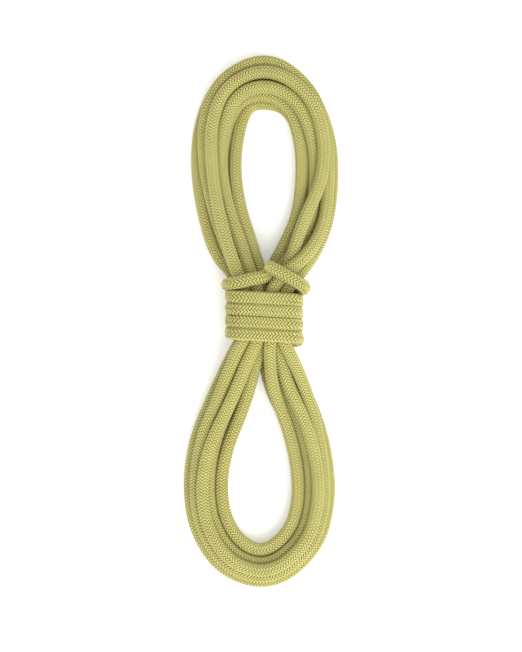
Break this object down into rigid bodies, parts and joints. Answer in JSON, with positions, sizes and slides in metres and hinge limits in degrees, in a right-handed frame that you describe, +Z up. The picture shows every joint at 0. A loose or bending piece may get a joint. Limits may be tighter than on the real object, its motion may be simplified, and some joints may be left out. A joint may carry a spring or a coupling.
{
  "type": "dynamic climbing rope",
  "caption": "Braided kernmantle climbing rope coiled into a pinched hank, lashed round its waist, with one cut end showing and the other tucked away.",
  "frame": {"origin": "centre of the outline on the surface that the hank lies on, close under the middle of the lashing", "axes": "+Y along the hank towards the loop with the rope's ends, +Z up through the lashing, +X across the hank"},
  "size_m": [0.1184, 0.4055, 0.0575],
  "materials": {
    "mantle": "matte",
    "core_yarn": "matte",
    "fused_end": "satin"
  },
  "bodies": {
    "root": {"free_end_seal": "fused_end", "free_tail_core_1": "core_yarn", "free_tail_core_2": "core_yarn", "free_tail_core_3": "core_yarn", "free_tail_core_4": "core_yarn", "free_tail_core_5": "core_yarn", "free_tail_core_6": "core_yarn", "free_tail_core_7": "core_yarn", "free_tail_mantle": "mantle", "hank_turn_1": "mantle", "hank_turn_2": "mantle", "hank_turn_3": "mantle", "hank_turn_4": "mantle", "hank_turn_5": "mantle", "hank_turn_6": "mantle", "hank_turn_7": "mantle", "lashing_lead": "mantle", "lashing_wrap_1": "mantle", "lashing_wrap_2": "mantle", "lashing_wrap_3": "mantle", "lashing_wrap_4": "mantle", "tucked_end_seal": "fused_end", "tucked_tail_core_1": "core_yarn", "tucked_tail_core_2": "core_yarn", "tucked_tail_core_3": "core_yarn", "tucked_tail_core_4": "core_yarn", "tucked_tail_core_5": "core_yarn", "tucked_tail_core_6": "core_yarn", "tucked_tail_core_7": "core_yarn", "tucked_tail_mantle": "mantle"}
  },
  "joints": []
}
